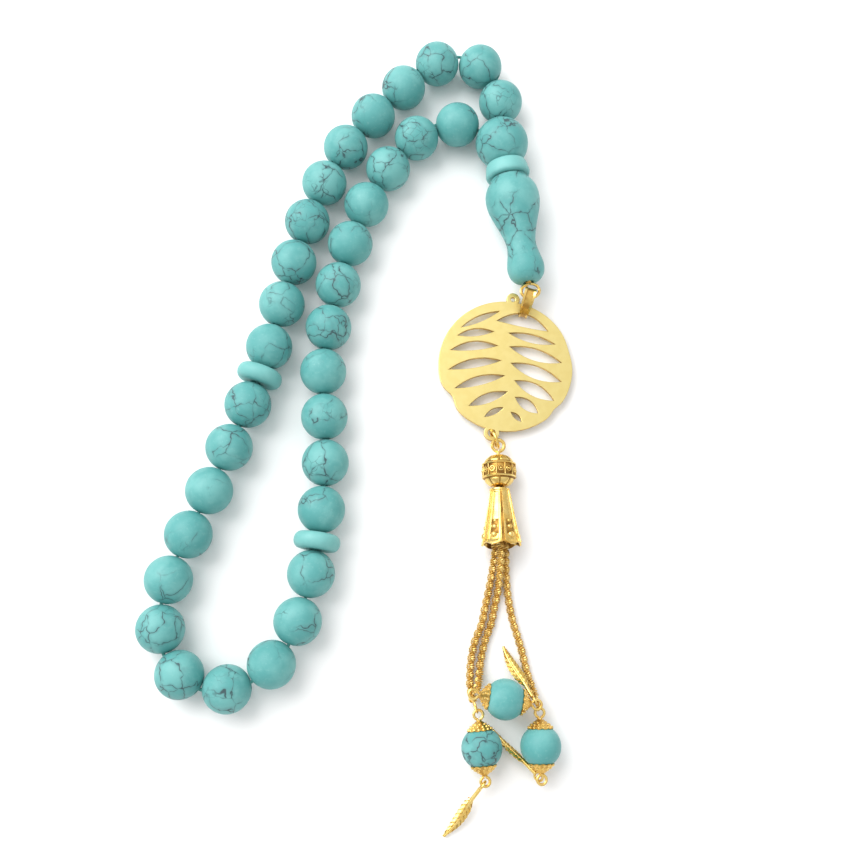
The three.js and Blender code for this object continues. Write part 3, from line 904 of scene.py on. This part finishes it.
def makeTasselPin():
    sizes = tasselPinSizes
    upper = ringPoints(sizes["upperEye"], -80, 262, 30, sizes["rise"])
    lower = ringPoints(sizes["lowerEye"], 80, -262, 26, sizes["rise"])
    lower = [(x, y - sizes["lowerDrop"], z) for x, y, z in lower]
    shank = []
    for i in range(sizes["shankSteps"] + 1):
        shank.append((0, -sizes["upperEye"] - i * sizes["shankStep"], sizes["rise"] / 2))
    upperEye = wire("pinUpper", [*reversed(upper)], sizes["upperWire"])
    lowerEye = wire("pinLower", lower, sizes["lowerWire"])
    pieces = [upperEye, wire("pinShank", shank, sizes["shankWire"]), lowerEye]
    pin = joinPieces("tasselPin", pieces)
    tip = math.atan2(tasselAxis.z, tasselAxis.y)
    put(pin, Matrix.Translation(tasselTop) @ Matrix.Rotation(tip, 4, "X"))
    finishPiece(pin, "tassel_pin", [polishedGold], ["tassel_pin"])


ballSizes = {
    "radius": 3.8, "segments": 48, "rings": 28, "band": 1.25, "rise": 0.16, "sink": -0.1, "motifs": 12,
    "petalTop": 3.2, "darkTop": 3.3, "petalGap": 0.1, "petalRise": 0.176, "bandGap": 0.12,
    "rimRadius": 3.53, "rimWire": 0.2, "rimHeight": 1.42,
    "motifSink": 0.22, "ringRadius": 0.52, "wire": 0.13, "boss": 0.27, "barHalf": 1.2,
}


def makeTasselBall():
    segments = ballSizes["segments"]
    clearSelection()
    core = (ballSizes["radius"] - ballSizes["rise"]) * mm
    bpy.ops.mesh.primitive_uv_sphere_add(segments=segments, ring_count=ballSizes["rings"], radius=core)
    ball = startPiece("tasselBall")
    band = ballSizes["band"] * mm

    def column(face):
        return int((math.atan2(face.center.y, face.center.x) + math.pi) / math.tau * segments) % segments

    def onBand(face):
        return abs(face.center.z) < band

    def inPetal(face):
        return band * 1.5 < abs(face.center.z) < ballSizes["petalTop"] * mm and column(face) % 6 < 5

    ball.data.materials.append(polishedGold)
    ball.data.materials.append(darkShadeGold)
    pick(ball, "FACE", inPetal)
    bpy.ops.mesh.inset(thickness=ballSizes["petalGap"] * mm)
    bpy.ops.transform.shrink_fatten(value=ballSizes["petalRise"] * mm)
    pick(ball, "FACE", onBand)
    bpy.ops.mesh.inset(thickness=ballSizes["bandGap"] * mm)
    bpy.ops.transform.shrink_fatten(value=ballSizes["sink"] * mm)
    bpy.ops.object.mode_set(mode="OBJECT")
    for face in ball.data.polygons:  # the ground behind the relief is painted dark, as shade in the recess
        low = face.center.length < (ballSizes["radius"] - 0.1) * mm
        face.material_index = 1 if low and abs(face.center.z) < ballSizes["darkTop"] * mm else 0
    applyModifier(ball, "SUBSURF", {"levels": 1, "render_levels": 1})
    details = []
    for side in (-1, 1):
        rim = goldRing("ballRim", ballSizes["rimRadius"], ballSizes["rimWire"], segments, 8)
        put(rim, Matrix.Translation((0, 0, side * ballSizes["rimHeight"] * mm)))
        details.append(rim)
    half = ballSizes["barHalf"]
    for i in range(ballSizes["motifs"] * 2):  # a ringed boss, then a bar, all the way round
        turn = math.tau * i / (ballSizes["motifs"] * 2)
        out = (ballSizes["radius"] - ballSizes["motifSink"]) * mm
        spot = Vector((math.cos(turn), math.sin(turn), 0)) * out
        if i % 2 == 0:
            ring = goldRing("motifRing", ballSizes["ringRadius"], ballSizes["wire"], 16)
            put(ring, standing(spot, spot))
            details.append(ring)
            motif = goldGrain("motif", ballSizes["boss"])
        else:
            motif = wire("motif", [(0, 0, -half), (0, 0, 0), (0, 0, half)], ballSizes["wire"])
            motif.data.materials.append(polishedGold)
        put(motif, Matrix.Translation(spot))
        details.append(motif)
    ball = joinPieces("tasselBall", [ball, *details])
    put(ball, onJoint("tassel_ball_spin"))
    finishPiece(ball, "tassel_ball", None, ["tassel_ball"])


bellSizes = {
    "top": 1.95, "mouth": 4.08, "length": 12.2, "wall": 0.42, "panels": 6, "perPanel": 14, "rows": 18,
    "rib": 0.24, "ribGap": 0.025, "point": 0.6, "flare": 0.05, "belowPinTop": 9.75, "turn": 30,
    "fieldGap": 0.08, "fieldSink": 0.12, "bevel": 0.02, "bossSink": 0.3,
    "bosses": [(10.2, 0.78), (8.45, 0.6), (7.15, 0.42)],  # how far down each panel, and how large
    "curlGap": 0.12, "curlWire": 0.13,
    "crown": [(0.85, -0.5), (2.0, -0.5), (2.2, -0.2), (2.15, 0.1), (1.7, 0.25), (0.85, 0.25)],
}


def makeTasselBell():
    panels, perPanel, rows = bellSizes["panels"], bellSizes["perPanel"], bellSizes["rows"]
    columns = panels * perPanel
    length = bellSizes["length"]
    clearSelection()
    bpy.ops.mesh.primitive_cone_add(
        vertices=columns, radius1=bellSizes["mouth"] * mm, radius2=bellSizes["top"] * mm, depth=length * mm,
        end_fill_type="NOTHING", location=(0, 0, -length / 2 * mm))
    bell = startPiece("tasselBell")
    bpy.ops.object.transform_apply(location=True)
    bpy.ops.object.mode_set(mode="EDIT")
    bpy.ops.mesh.select_all(action="SELECT")
    bpy.ops.object.mode_set(mode="OBJECT")
    for edge in bell.data.edges:  # only the edges that run from top to mouth are cut
        first, second = [bell.data.vertices[i].co for i in edge.vertices]
        edge.select = abs(first.z - second.z) > 1 * mm
    for vertex in bell.data.vertices:
        vertex.select = False
    for face in bell.data.polygons:
        face.select = False
    bpy.ops.object.mode_set(mode="EDIT")
    bpy.ops.mesh.select_mode(type="EDGE")
    bpy.ops.mesh.subdivide(number_cuts=rows - 1)
    bpy.ops.object.mode_set(mode="OBJECT")
    for vertex in bell.data.vertices:  # the hem hangs in a shallow point under each panel
        turn = math.atan2(vertex.co.y, vertex.co.x) * panels
        share = -vertex.co.z / (length * mm)
        vertex.co.z += bellSizes["point"] * mm * (0.5 + 0.5 * math.cos(turn)) * share ** 6
        flare = 1 + bellSizes["flare"] * share ** 8
        vertex.co.x *= flare
        vertex.co.y *= flare
    applyModifier(bell, "SOLIDIFY", {"thickness": bellSizes["wall"] * mm, "offset": -1})

    def column(face):
        return int((math.atan2(face.center.y, face.center.x) / math.tau * columns) % columns)

    def outside(face):
        away = Vector((face.center.x, face.center.y))
        facing = Vector((face.normal.x, face.normal.y))
        return away.dot(facing) > 0 and abs(face.normal.z) < 0.6

    def onRib(face):
        return outside(face) and column(face) % perPanel in (1, perPanel - 2)

    def inField(face):
        share = -face.center.z / (length * mm)
        return outside(face) and column(face) % perPanel in range(3, perPanel - 3) and 0.07 < share < 0.95

    bell.data.materials.append(polishedGold)
    bell.data.materials.append(darkShadeGold)
    pick(bell, "FACE", onRib)
    bpy.ops.mesh.inset(thickness=bellSizes["ribGap"] * mm)
    bpy.ops.transform.shrink_fatten(value=bellSizes["rib"] * mm)
    pick(bell, "FACE", inField)
    bpy.ops.mesh.inset(thickness=bellSizes["fieldGap"] * mm)
    bpy.ops.transform.shrink_fatten(value=-bellSizes["fieldSink"] * mm)
    bpy.ops.object.mode_set(mode="OBJECT")
    # grooves, sunk fields and the inner wall take the darkest gold: painted shade
    for face in bell.data.polygons:
        away = math.hypot(face.center.x, face.center.y)
        share = -face.center.z / (length * mm)
        skin = (bellSizes["top"] + (bellSizes["mouth"] - bellSizes["top"]) * share) * mm
        groove = column(face) % perPanel in (0, perPanel - 1) and share > 0.05
        sunk = away < skin - 0.06 * mm and 0.55 < share < 0.95
        inner = not outside(face) and abs(face.normal.z) < 0.9 and away < skin - 0.2 * mm
        face.material_index = 1 if inner or (outside(face) and (groove or sunk)) else 0
    applyModifier(bell, "BEVEL", {"width": bellSizes["bevel"] * mm, "segments": 1, "limit_method": "ANGLE"})
    details = []
    slope = (bellSizes["mouth"] - bellSizes["top"]) / length
    for panel in range(panels):  # a stack of ringed bosses low in each panel
        turn = math.tau * (panel + 0.5) / panels
        for drop, size in bellSizes["bosses"]:
            skin = (bellSizes["top"] + slope * drop - bellSizes["bossSink"]) * mm
            spot = Vector((math.cos(turn) * skin, math.sin(turn) * skin, -drop * mm))
            boss = goldGrain("boss", size)
            put(boss, Matrix.Translation(spot))
            curl = goldRing("curl", size + bellSizes["curlGap"], bellSizes["curlWire"], 20)
            put(curl, standing(spot, (math.cos(turn), math.sin(turn), slope)))
            details += [boss, curl]
    crown = spinProfile("bellCrown", bellSizes["crown"], 32)
    crown.data.materials.append(polishedGold)
    bell = joinPieces("tasselBell", [bell, *details, crown])
    top = tasselTop - tasselAxis * bellSizes["belowPinTop"] * mm
    put(bell, standing(top, tasselAxis, math.radians(bellSizes["turn"])))
    finishPiece(bell, "tassel_bell", None, ["tassel_bell"])


makeTasselPin()
makeTasselBall()
makeTasselBell()
print("tassel head is in place")


# the three rope chains

chainSizes = {
    "link": 0.42, "wire": 0.15, "spacing": 0.34, "pitch": 3.5, "offset": 0.36, "segments": 10, "sides": 4,
    "endWire": 0.22, "endSlack": 0.28, "eyeReach": 0.95,
}
chainRoutes = [
    [(28.05, -24.3, 3.75), (28.0, -27.5, 3.6), (27.8, -31, 2.6), (27.35, -34.5, 1.4), (26.5, -38.8, 0.95),
     (25.6, -42.5, 0.95), (24.8, -46, 0.95), (23.3, -49.5, 0.95), (22.4, -53.5, 0.95), (22.1, -57.5, 0.95),
     (22.3, -60.0, 1.6), (22.6, -61.7, 2.7)],
    [(29.0, -24.3, 5.35), (28.95, -27.5, 5.35), (28.9, -31, 4.5), (28.75, -34.5, 2.9), (28.45, -38.8, 1.2),
     (27.6, -42.5, 0.95), (26.8, -46, 0.95), (25.4, -49.5, 0.95), (24.45, -53.5, 0.95), (24.1, -56.2, 1.5),
     (23.7, -58.1, 2.7), (23.3, -59.3, 3.8)],
    [(29.95, -24.3, 3.75), (30.0, -27.5, 3.6), (30.1, -31, 2.6), (30.2, -34.8, 1.4), (30.45, -38.8, 0.95),
     (30.9, -42.3, 0.95), (31.5, -45.5, 0.95), (32.5, -49, 0.95), (33.3, -52, 0.95), (34.1, -55.7, 0.95),
     (35.0, -58.9, 1.4), (35.6, -61.0, 2.7)],
]


def acrossLine(direction):  # two directions square to a line that runs roughly level
    side = direction.cross(upright).normalized()
    return side, side.cross(direction).normalized()


def makeChains():  # each chain is two strands of small rings, laid round each other like rope
    around, across = chainSizes["segments"], chainSizes["sides"]
    link = goldRing("linkModel", chainSizes["link"], chainSizes["wire"], around, across)
    offset = chainSizes["offset"]
    climb = math.tau * offset / chainSizes["pitch"]
    for number, route in enumerate(chainRoutes, 1):
        tag = str(number)
        line = smoothLine([Vector(point) * mm for point in route], 10)
        links = []
        for i, (place, direction) in enumerate(evenly(line, chainSizes["spacing"] * mm)):
            side, lift = acrossLine(direction)
            for start in (0, math.pi):
                phase = start + math.tau * i * chainSizes["spacing"] / chainSizes["pitch"]
                centre = place + (side * math.cos(phase) + lift * math.sin(phase)) * offset * mm
                along = direction + (lift * math.cos(phase) - side * math.sin(phase)) * climb
                links.append(copyPiece(link, "link", standing(centre, along)))
        chain = joinPieces("chain" + tag, links)
        finishPiece(chain, "chain_" + tag, [chainGold], ["chain_" + tag], sharp=80)
        makeEndRing(tag, line[-1])
    removePiece(link)


def makeEndRing(tag, chainEnd):  # the ring that ties a chain to its bead pin's eye
    eye = Vector(joints["bead_pin_" + tag + "_swing"]["pos_m"])
    reach = eye - chainEnd
    nearWire = eye - reach.normalized() * chainSizes["eyeReach"] * mm
    radius = (nearWire - chainEnd).length / 2 / mm + chainSizes["endSlack"]
    ring = wire("endRing" + tag, ringPoints(radius, 3, 357, 30), chainSizes["endWire"])
    put(ring, standing((nearWire + chainEnd) / 2, reach.cross(upright)))
    finishPiece(ring, "chain_" + tag, [polishedGold])


makeChains()
print("chains are linked")


# tassel ends: pins, caps, beads and feathers

endSizes = {
    "pinReach": 6.6, "loop": 0.95, "wire": 0.3, "capWide": 2.6, "capNarrow": 0.9, "capHeight": 1.6,
    "petalCut": 0.22, "petalReach": 0.7, "wrapWire": 0.2, "wrapRadius": 0.42,
    "featherTurns": (-128, 117, 134), "dips": (15, 20, 14), "rolls": (0, 0, 55),
}


def makeCap():  # a flared cap that sits on the bead, covered in rows of grains
    radius = beadSizes["tasselRadius"]
    wide, narrow, height = endSizes["capWide"], endSizes["capNarrow"], endSizes["capHeight"]
    seat = math.sqrt(radius ** 2 - wide ** 2)
    top = seat + height + 0.35
    inner = [(wide - 0.1, seat + 0.02)]
    for share in (0.66, 0.33):
        at = narrow + (wide - narrow) * share
        inner.append((at, math.sqrt(radius ** 2 - at ** 2) + 0.04))
    outline = [
        (narrow - 0.35, top - 0.3), *reversed(inner), (wide + 0.08, seat + 0.1), (wide * 0.88, seat + 0.62),
        (wide * 0.62, seat + height * 0.74), (narrow + 0.1, top - 0.2), (narrow - 0.1, top),
    ]
    cap = spinProfile("capModel", outline, 48)
    # the cap's body takes the darker gold: painted shade on the ground between the grains
    cap.data.materials.append(shadedGold)
    for vertex in cap.data.vertices:  # the rim is cut in shallow petals
        angle = math.atan2(vertex.co.y, vertex.co.x)
        share = max(0.0, 1 - (vertex.co.z / mm - seat) / endSizes["petalReach"])
        vertex.co.z += endSizes["petalCut"] * mm * share * (1 - abs(math.cos(angle * 6)))
    grains = []
    rows = [  # how many grains, how far out, how high and how large
        (15, wide * 0.92, seat + 0.42, 0.33), (12, wide * 0.73, seat + 0.92, 0.31),
        (8, wide * 0.5, seat + height * 0.84, 0.29),
    ]
    for count, across, up, size in rows:
        for i in range(count):
            angle = math.tau * (i + 0.5 * (count % 2)) / count
            spot = Vector((across * math.cos(angle), across * math.sin(angle), up)) * mm
            grain = goldGrain("grain", size, 1)
            put(grain, Matrix.Translation(spot))
            grains.append(grain)
    return joinPieces("capModel", [cap, *grains])


def makeBeadPin(name):
    reach, loop = endSizes["pinReach"], endSizes["loop"]
    around = endSizes["wrapRadius"]
    pieces = []
    for side in (-1, 1):
        eye = [(side * (reach - x), y, z) for x, y, z in ringPoints(loop, 12, 350, 24, 0.1)]
        pieces.append(wire("eye", eye, endSizes["wire"]))
        wrap = []
        for degrees in range(0, 1000, 40):
            angle = math.radians(degrees)
            along = side * (reach - loop - 0.15 - degrees * 0.0007)
            wrap.append((along, around * math.cos(angle), around * math.sin(angle)))
        pieces.append(wire("wrap", wrap, endSizes["wrapWire"]))
    shank = [(-reach + loop + i * (reach - loop) / 6, 0, 0) for i in range(13)]
    pieces.append(wire("shank", shank, endSizes["wire"]))
    return joinPieces(name, pieces)


featherSizes = {
    "length": 13.3, "stem": 4.0, "halfWidth": 1.12, "thick": 0.2, "barbs": 9, "columns": 56, "rows": 12,
    "slant": 1.1, "valley": 0.26, "bend": 0.55, "barbRise": 0.24, "crown": 0.2, "sink": 0.1,
    "ribWire": 0.26, "stemWire": 0.42, "loopRadius": 0.9, "loopWire": 0.27,
    "stemLine": [(0.85, 0, 0), (2.2, 0.02, 0), (3.4, 0, 0.02), (4.6, 0.05, 0.02)],
}


def makeFeather():  # a leaf blade with a rib and slanting barbs, hung from an upright loop
    length, stem = featherSizes["length"], featherSizes["stem"]
    barbs, slant, bow = featherSizes["barbs"], featherSizes["slant"], featherSizes["bend"]
    clearSelection()
    bpy.ops.mesh.primitive_grid_add(
        x_subdivisions=featherSizes["columns"], y_subdivisions=featherSizes["rows"], size=2 * mm)
    blade = startPiece("blade")
    valleys = []
    for face in blade.data.polygons:  # the groove between one barb and the next, painted darker as shade
        t = (face.center.x / mm + 1) / 2
        side = abs(face.center.y / mm)
        valleys.append((t * barbs - side * slant) % 1.0 < featherSizes["valley"] and side > 0.12)
    for vertex in blade.data.vertices:
        t = (vertex.co.x / mm + 1) / 2
        side = vertex.co.y / mm
        barb = (t * barbs - abs(side) * slant) % 1.0
        swell = math.sin(math.pi * min(t * 0.96 + 0.04, 1.0) ** 0.72) ** 0.8
        width = featherSizes["halfWidth"] * swell + 0.12
        reach = width * (1 - 0.16 * barb * abs(side))
        bend = bow * math.sin(t * math.pi * 0.9)
        vertex.co.x = (stem - 0.3 + (length - stem + 0.3) * t) * mm
        vertex.co.y = (side * reach + bend - 0.2) * mm
        rise = featherSizes["barbRise"] * barb * min(1.0, abs(side) * 3)
        vertex.co.z = (rise + featherSizes["crown"] * (1 - abs(side)) - featherSizes["sink"]) * mm
    blade.data.materials.append(polishedGold)
    blade.data.materials.append(shadedGold)
    for face, isValley in zip(blade.data.polygons, valleys):
        face.material_index = 1 if isValley else 0
    applyModifier(blade, "SOLIDIFY", {"thickness": featherSizes["thick"] * mm, "offset": -1})
    rib = []
    for i in range(21):
        along = 0.9 + (length - 1.1) * i / 20
        bend = 0.0
        if along >= stem:
            bend = bow * math.sin((along - stem) / (length - stem) * math.pi * 0.9) - 0.1 * i / 20
        rib.append((along, bend, 0.12))
    spine = wire("rib", rib, featherSizes["ribWire"])
    stemPlate = wire("stem", featherSizes["stemLine"], featherSizes["stemWire"])
    loop = wire("loop", ringPoints(featherSizes["loopRadius"], 4, 356, 26), featherSizes["loopWire"])
    put(loop, Matrix.Rotation(math.pi / 2, 4, "X"))
    for part in (spine, stemPlate, loop):
        part.data.materials.append(polishedGold)
    return joinPieces("featherModel", [blade, spine, stemPlate, loop])


def makeTasselEnds():
    capModel = makeCap()
    beadModel = makeBead("tasselBeadModel", beadSizes["tasselRadius"])
    pinModel = makeBeadPin("pinModel")
    featherModel = makeFeather()
    for number in (1, 2, 3):
        tag = str(number)
        centre = Vector(joints["tassel_bead_" + tag + "_spin"]["pos_m"])
        back = Vector(joints["tassel_bead_" + tag + "_spin"]["axis"]).normalized()  # towards the chain
        outward = -back
        heading = math.atan2(outward.y, outward.x)
        bead = copyPiece(beadModel, "tasselBead" + tag, standing(centre, back))
        stone = veinedStone if number == 1 else plainStone
        finishPiece(bead, "tassel_bead_" + tag, [stone], ["tassel_bead_" + tag])
        along = Matrix.Translation(centre) @ Matrix.Rotation(heading, 4, "Z")
        pin = copyPiece(pinModel, "beadPin" + tag, along)
        finishPiece(pin, "bead_pin_" + tag, [polishedGold], ["bead_pin_" + tag])
        for end, direction in (("Upper", back), ("Lower", outward)):
            seat = standing(centre, direction, random.uniform(0, 1))
            cap = copyPiece(capModel, "beadCap" + end + tag, seat)
            finishPiece(cap, "bead_pin_" + tag, None)
        turn = Matrix.Rotation(math.radians(endSizes["featherTurns"][number - 1]), 4, "Z")
        dip = Matrix.Rotation(math.radians(endSizes["dips"][number - 1]), 4, "Y")
        roll = Matrix.Rotation(math.radians(endSizes["rolls"][number - 1]), 4, "X")
        hang = (turn @ dip) @ Vector((featherSizes["loopRadius"] * mm, 0, 0))
        place = centre + outward * endSizes["pinReach"] * mm + hang
        feather = copyPiece(featherModel, "feather" + tag, Matrix.Translation(place) @ turn @ dip @ roll)
        finishPiece(feather, "feather_" + tag, None, ["feather_" + tag], sharp=40)
    for model in (capModel, beadModel, pinModel, featherModel):
        removePiece(model)


makeTasselEnds()
print("tassel ends are in place")
